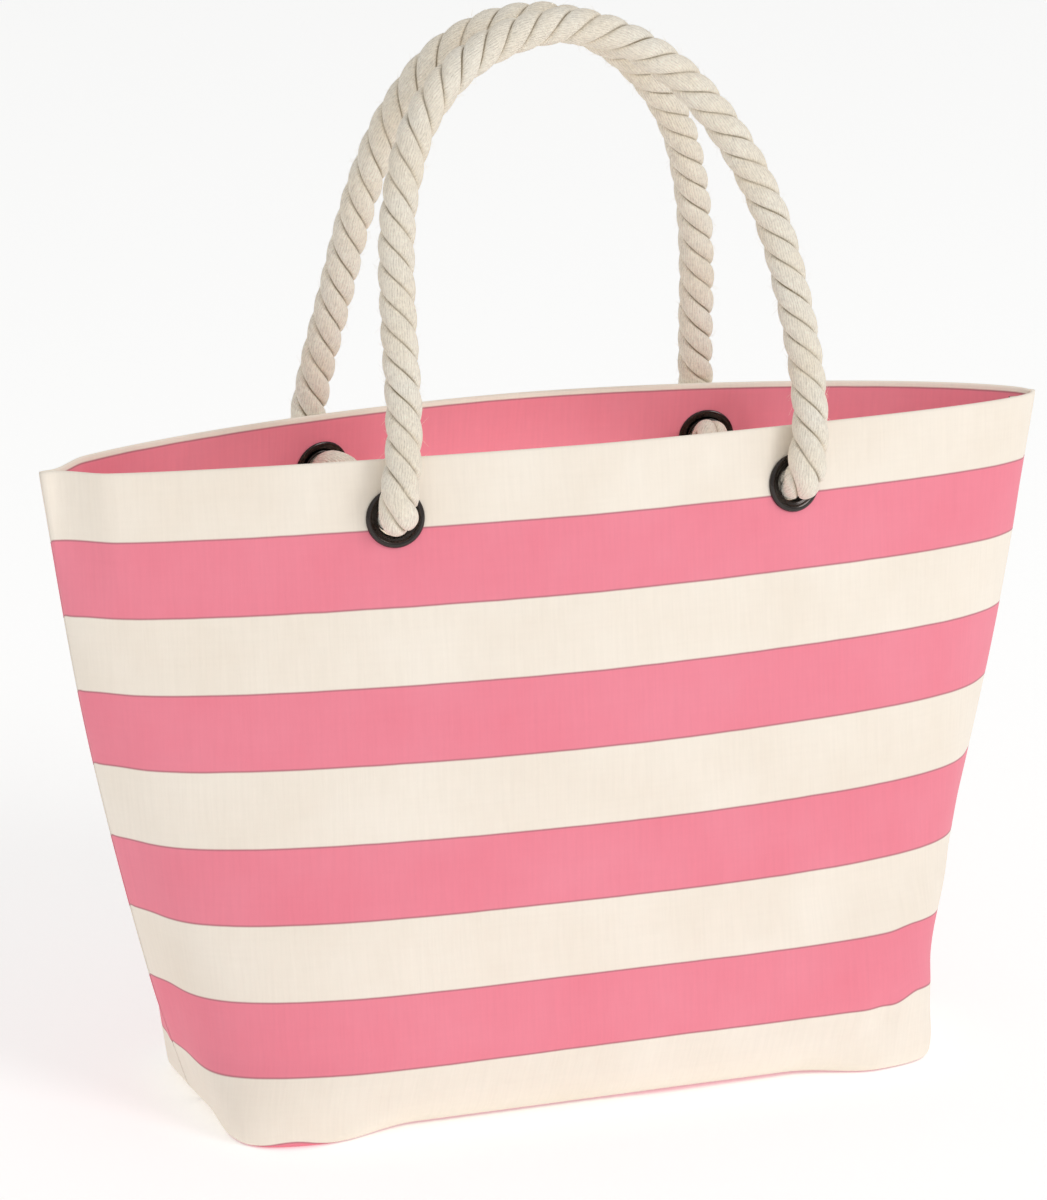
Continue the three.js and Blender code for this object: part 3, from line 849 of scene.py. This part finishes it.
def add_node(material, kind, inputs=None, **settings):
    """Adds a node with its settings and inputs, each a value or another node's output. Gives its outputs."""
    tree = material.node_tree
    added = tree.nodes.new(f"ShaderNode{kind}")
    for setting, value in settings.items():
        setattr(added, setting, value)
    for socket, value in (inputs or {}).items():
        if isinstance(value, bpy.types.NodeSocket):
            tree.links.new(value, added.inputs[socket])
        else:
            added.inputs[socket].default_value = value
    return added.outputs


def new_material(name):
    """An empty material, and the function that adds its nodes."""
    material = bpy.data.materials.new(name)
    material.use_nodes = True
    material.node_tree.nodes.clear()
    return material, functools.partial(add_node, material)


def finish_material(material, add, **inputs):
    """The surface itself. A key's underscores are the spaces in the shader's input."""
    shader = add("BsdfPrincipled", {key.replace("_", " "): value for key, value in inputs.items()})
    add("OutputMaterial", {"Surface": shader[0]})
    return material


def weave(add, cloth):
    """Plain weave with slubs. The real threads are about half a millimetre apart, too fine to show, so they
    are drawn about twice as coarse. Returns how high the threads stand and how thick the yarn is there."""
    split = add("SeparateXYZ", {0: cloth})
    ups = []
    for axis in (0, 1):
        turned = add("Math", {0: split[axis], 1: 2 * math.pi / THREAD_PITCH}, operation="MULTIPLY")
        ups.append(add("Math", {0: turned[0]}, operation="SINE")[0])
    crossing = add("Math", {0: ups[0], 1: ups[1]}, operation="MULTIPLY")[0]
    slubs = []
    for scale in SLUB_STRETCH:
        stretched = add("Mapping", {"Vector": cloth, "Scale": scale})
        slubs.append(add("TexNoise", {"Vector": stretched[0], "Scale": 1.0, "Detail": 3.0})[0])
    slub = add("Math", {0: slubs[1], 1: WEFT_SLUBS, 2: slubs[0]}, operation="MULTIPLY_ADD")[0]
    thread = add("Math", {0: crossing, 1: THREAD_CROSSING, 2: slub}, operation="MULTIPLY_ADD")[0]
    return thread, slub


def stripe_pattern(add, cloth, place):
    """Where the canvas is pink, and where the thin line along a stripe's edge is, each from 0 to 1."""
    down = add("SeparateXYZ", {0: cloth})[1]
    waver = add("TexNoise", {"Vector": place, "Scale": 45.0, "Detail": 2.0})[0]
    wavering = add("Math", {0: waver, 1: WAVER, 2: down}, operation="MULTIPLY_ADD")[0]
    start = (-FIRST_STRIPE_EDGE - EDGE_SHIFT) / STRIPE - 0.5
    stripes = add("Math", {0: wavering, 1: 1 / STRIPE, 2: start}, operation="MULTIPLY_ADD")[0]
    peak = add("Math", {0: stripes, 1: 1.0}, operation="PINGPONG")[0]
    blur = EDGE_BLUR / STRIPE
    pink = add("MapRange", {"Value": peak, "From Min": 0.5 - blur, "From Max": 0.5 + blur})[0]
    from_edge = add("Math", {0: peak, 1: 0.5 + LINE_SHIFT / STRIPE}, operation="SUBTRACT")[0]
    near_edge = add("Math", {0: from_edge}, operation="ABSOLUTE")[0]
    line = add("MapRange", {"Value": near_edge, "From Min": LINE_WIDTH / STRIPE, "From Max": 0.0,
                            "To Min": 0.0, "To Max": LINE_DEPTH})[0]
    return pink, line


def striped_canvas():
    """Heavy cotton canvas, woven in stripes and softly pressed: matt, with fine slubs and a faint fuzz."""
    material, add = new_material("striped cotton canvas, woven")
    cloth = add("UVMap", uv_map="cloth")[0]
    place = add("TexCoord")["Object"]
    thread, slub = weave(add, cloth)
    pink, edge_line = stripe_pattern(add, cloth, place)
    mottle = add("TexNoise", {"Vector": place, "Scale": 16.0, "Detail": 5.0, "Roughness": 0.6})[0]
    patches = add("MapRange", {"Value": mottle, "From Min": 0.3, "From Max": 0.7})[0]
    tones = []
    for dark, light in (("#F4E9DA", "#FAF1E4"), ("#F28798", "#F490A1")):
        tones.append(add("Mix", {SHARE: patches, FIRST: linear(dark), SECOND: linear(light)},
                         data_type="RGBA")[2])
    striped = add("Mix", {SHARE: pink, FIRST: tones[0], SECOND: tones[1]}, data_type="RGBA")[2]
    lined = add("Mix", {SHARE: edge_line, FIRST: striped, SECOND: linear("#AC7178")}, data_type="RGBA")[2]
    shade = add("MapRange", {"Value": slub, "From Min": 0.45, "From Max": 0.95, "To Min": 0.975,
                             "To Max": 1.015})[0]
    shaded = add("Mix", {SHARE: 1.0, FIRST: lined, SECOND: shade}, data_type="RGBA",
                 blend_type="MULTIPLY")[2]
    relief = add("Bump", {"Height": thread, "Strength": 0.25, "Distance": 0.0004})[0]
    return finish_material(material, add, Base_Color=shaded, Normal=relief, Roughness=0.92,
                           Sheen_Weight=0.12, Sheen_Roughness=0.5, Specular_IOR_Level=0.25)


def canvas_reverse():
    """The undyed back of the canvas: plain natural cotton with brown flecks of seed."""
    material, add = new_material("natural cotton canvas, reverse")
    cloth = add("UVMap", uv_map="cloth")[0]
    place = add("TexCoord")["Object"]
    thread, slub = weave(add, cloth)
    flecks = add("TexNoise", {"Vector": place, "Scale": 420.0, "Detail": 2.0})[0]
    fleck = add("MapRange", {"Value": flecks, "From Min": 0.72, "From Max": 0.78, "To Min": 0.0,
                             "To Max": 0.6})[0]
    natural = add("Mix", {SHARE: slub, FIRST: linear("#E6DAC4"), SECOND: linear("#EFE5D3")},
                  data_type="RGBA")[2]
    flecked = add("Mix", {SHARE: fleck, FIRST: natural, SECOND: linear("#9C7F57")}, data_type="RGBA")[2]
    relief = add("Bump", {"Height": thread, "Strength": 0.4, "Distance": 0.0004})[0]
    return finish_material(material, add, Base_Color=flecked, Normal=relief, Roughness=0.95,
                           Sheen_Weight=0.1, Specular_IOR_Level=0.2)


def yarns_and_fluff(add, place):
    """How high the rope's yarns stand, and how much its fibres are fluffed up there. Single fibres are a few
    hundredths of a millimetre thick, so they are drawn in tufts about thirty times as coarse."""
    around = add("UVMap", uv_map="round")[0]
    wander = add("TexNoise", {"Vector": place, "Scale": 130.0, "Detail": 3.0})[0]
    turn = add("SeparateXYZ", {0: around})[0]
    yarn_turn = add("Math", {0: turn, 1: 2 * math.pi * YARNS_ROUND}, operation="MULTIPLY")[0]
    wandering = add("Math", {0: wander, 1: YARN_WANDER, 2: yarn_turn}, operation="MULTIPLY_ADD")[0]
    yarns = add("Math", {0: wandering}, operation="SINE")[0]
    combed = add("Mapping", {"Vector": around, "Scale": (FIBRES_ROUND, FIBRES_ALONG, 1)})[0]
    noises = []
    for scale, vector in ((1.0, combed), (520.0, place)):
        noises.append(add("TexNoise", {"Vector": vector, "Scale": scale, "Detail": 4.0,
                                       "Roughness": 0.75})[0])
    return yarns, add("Math", {0: noises[0], 1: noises[1]}, operation="ADD")[0]


def cotton_rope():
    """Soft cotton rope, laid from three strands of combed yarns: matt and fuzzy, with painted shade in the
    creases between the strands and in the grooves between the yarns.
    """
    material, add = new_material("natural cotton rope, laid")
    strand = add("UVMap", uv_map="strand")[0]
    place = add("TexCoord")["Object"]
    yarns, fluff = yarns_and_fluff(add, place)
    height = add("Math", {0: yarns, 1: YARN_RELIEF, 2: fluff}, operation="MULTIPLY_ADD")[0]
    # Painted shade: the colour darkens towards the creases between the strands, where shade falls.
    to_crease = add("SeparateXYZ", {0: strand})[0]
    crease_shade_mask = add("MapRange", {"Value": to_crease, "From Min": 0.86, "From Max": 1.0},
                 interpolation_type="SMOOTHSTEP")[0]
    patches = add("TexNoise", {"Vector": place, "Scale": 45.0, "Detail": 4.0})[0]
    cotton = add("Mix", {SHARE: patches, FIRST: linear("#FAECD5"), SECOND: linear("#FFFAEE")},
                 data_type="RGBA")[2]
    shade = add("MapRange", {"Value": fluff, "From Min": 0.75, "From Max": 1.2, "To Min": 0.88,
                             "To Max": 1.14})[0]
    # Painted shade: the colour is darker in the grooves between the yarns. The fluff tone above it varies at
    # random.
    painted_groove_shade = add("MapRange", {"Value": yarns, "From Min": -1.0, "From Max": -0.2, "To Min": 0.88,
                              "To Max": 1.0})[0]
    for fluff_tone_and_groove_shade in (shade, painted_groove_shade):
        cotton = add("Mix", {SHARE: 1.0, FIRST: cotton, SECOND: fluff_tone_and_groove_shade}, data_type="RGBA",
                     blend_type="MULTIPLY")[2]
    # The painted crease shade is broken into patches and mixed in as dark brown #8F7B58.
    crease_shade_patches = add("MapRange", {"Value": patches, "From Min": 0.35, "From Max": 0.65, "To Min": 0.35,
                                   "To Max": 0.95})[0]
    painted_crease_shade = add("Math", {0: crease_shade_mask, 1: crease_shade_patches}, operation="MULTIPLY")[0]
    with_painted_crease_shade = add("Mix", {SHARE: painted_crease_shade, FIRST: cotton, SECOND: linear("#8F7B58")}, data_type="RGBA")[2]
    relief = add("Bump", {"Height": height, "Strength": 0.85, "Distance": 0.0010})[0]
    return finish_material(material, add, Base_Color=with_painted_crease_shade, Normal=relief, Roughness=0.95,
                           Sheen_Weight=0.15, Sheen_Roughness=0.6, Specular_IOR_Level=0.2)


def gunmetal():
    """Stamped brass, plated dark gunmetal and lacquered: near black, with a bright line along each curve."""
    material, add = new_material("gunmetal plated brass, stamped")
    place = add("TexCoord")["Object"]
    smears = add("TexNoise", {"Vector": place, "Scale": 260.0, "Detail": 5.0})[0]
    tone = add("Mix", {SHARE: smears, FIRST: linear("#2A2421"), SECOND: linear("#3A3330")},
               data_type="RGBA")[2]
    dull = add("MapRange", {"Value": smears, "From Min": 0.3, "From Max": 0.7, "To Min": 0.16,
                            "To Max": 0.28})[0]
    relief = add("Bump", {"Height": smears, "Strength": 0.06, "Distance": 0.0002})[0]
    return finish_material(material, add, Base_Color=tone, Metallic=1.0, Roughness=dull, Normal=relief,
                           Coat_Weight=0.6, Coat_Roughness=0.06)


def spun_thread(name, dark, light):
    """Spun sewing thread: its twist is far too fine to show, so it is drawn as a coarse mottle."""
    material, add = new_material(name)
    place = add("TexCoord")["Object"]
    fluff = add("TexNoise", {"Vector": place, "Scale": 1400.0, "Detail": 3.0})[0]
    tone = add("Mix", {SHARE: fluff, FIRST: linear(dark), SECOND: linear(light)}, data_type="RGBA")[2]
    relief = add("Bump", {"Height": fluff, "Strength": 0.3, "Distance": 0.0002})[0]
    return finish_material(material, add, Base_Color=tone, Normal=relief, Roughness=0.8, Sheen_Weight=0.2)


def cloth_tape():
    """Woven cotton tape with a thin glue-backed finish: fine ribs round the rope."""
    material, add = new_material("cotton cloth tape, woven")
    place = add("TexCoord")["Object"]
    ribs = add("TexWave", {"Vector": place, "Scale": 260.0, "Distortion": 0.6}, bands_direction="Z")[0]
    tone = add("Mix", {SHARE: ribs, FIRST: linear("#DDD5C6"), SECOND: linear("#EDE7DB")},
               data_type="RGBA")[2]
    relief = add("Bump", {"Height": ribs, "Strength": 0.3, "Distance": 0.0003})[0]
    return finish_material(material, add, Base_Color=tone, Normal=relief, Roughness=0.75)


def painted_floor():
    """Plain white studio floor paint, which shines faintly itself so that it stays white."""
    material, add = new_material("matt white studio paint, rolled")
    place = add("TexCoord")["Object"]
    nap = add("TexNoise", {"Vector": place, "Scale": 60.0})[0]
    relief = add("Bump", {"Height": nap, "Strength": 0.02, "Distance": 0.001})[0]
    return finish_material(material, add, Base_Color=linear("#FAFAF9"), Normal=relief, Roughness=0.9,
                           Emission_Color=linear("#FFFFFF"), Emission_Strength=0.27)


# ---- studio ----
def make_floor():
    bm = bmesh.new()
    bmesh.ops.create_grid(bm, x_segments=1, y_segments=1, size=14)
    mesh = bpy.data.meshes.new("floor")
    bm.to_mesh(mesh)
    bm.free()
    mesh.materials.append(painted_floor())
    floor = bpy.data.objects.new("floor", mesh)
    bpy.context.scene.collection.objects.link(floor)


def add_soft_light(name, place, aim, width, height, power):
    """An oval light that the camera doesn't see."""
    data = bpy.data.lights.new(name, "AREA")
    data.shape = "ELLIPSE"
    data.size = width
    data.size_y = height
    data.energy = power
    light = bpy.data.objects.new(name, data)
    facing = (Vector(aim) - Vector(place)).to_track_quat("-Z", "Y").to_matrix().to_4x4()
    light.matrix_world = Matrix.Translation(place) @ facing
    light.visible_camera = False
    bpy.context.scene.collection.objects.link(light)


def light_studio():
    world = bpy.data.worlds.new("studio")
    bpy.context.scene.world = world
    world.use_nodes = True
    sky = world.node_tree.nodes["Background"].inputs
    sky["Strength"].default_value = 0.66
    sky["Color"].default_value = linear("#FFFFFF")
    add_soft_light("key", place=(2.6, -4.6, 3.2), aim=(0, 0, 0.2), width=2.6, height=2.6, power=84)
    add_soft_light("fill_in_the_mouth", place=(0, -0.012, 0.225), aim=(0, 0.06, 0.285), width=0.38,
                   height=0.05, power=0.13)
    bpy.context.scene.view_settings.view_transform = "Standard"


# ---- the whole bag ----
def make_bag():
    rope_cotton = cotton_rope()
    tape_cloth = cloth_tape()
    handles = {
        "front": make_handle("front_handle", -1, FRONT_ROUTE, rope_cotton),
        "back": make_handle("back_handle", 1, BACK_ROUTE, rope_cotton),
    }
    ends = {"front": [], "back": []}
    for name, (x, side) in EYELETS.items():
        ends[name.split("_")[0]] += [make_knot(name, x, side, rope_cotton), make_rope_tape(name, tape_cloth)]

    canvas, reverse = striped_canvas(), canvas_reverse()
    cream_thread = spun_thread("spun polyester thread, cream", "#DDD3C2", "#F3ECDF")
    for name, side in (("front_panel", -1), ("back_panel", 1)):
        places = make_panel(name, side, canvas, reverse)
        for face, row in TOPSTITCH_ROWS.items():
            below = places[row + 1] - places[row]
            stitch_row(f"{name}_{face}_topstitch", places, row, below * -side, cream_thread)
    metal = gunmetal()
    for name, (x, side) in EYELETS.items():
        make_eyelet(name, x, side, metal)
    make_seams(reverse, spun_thread("spun polyester thread, charcoal", "#2E2C2D", "#4A4748"))


make_camera()
make_bag()
make_floor()
light_studio()
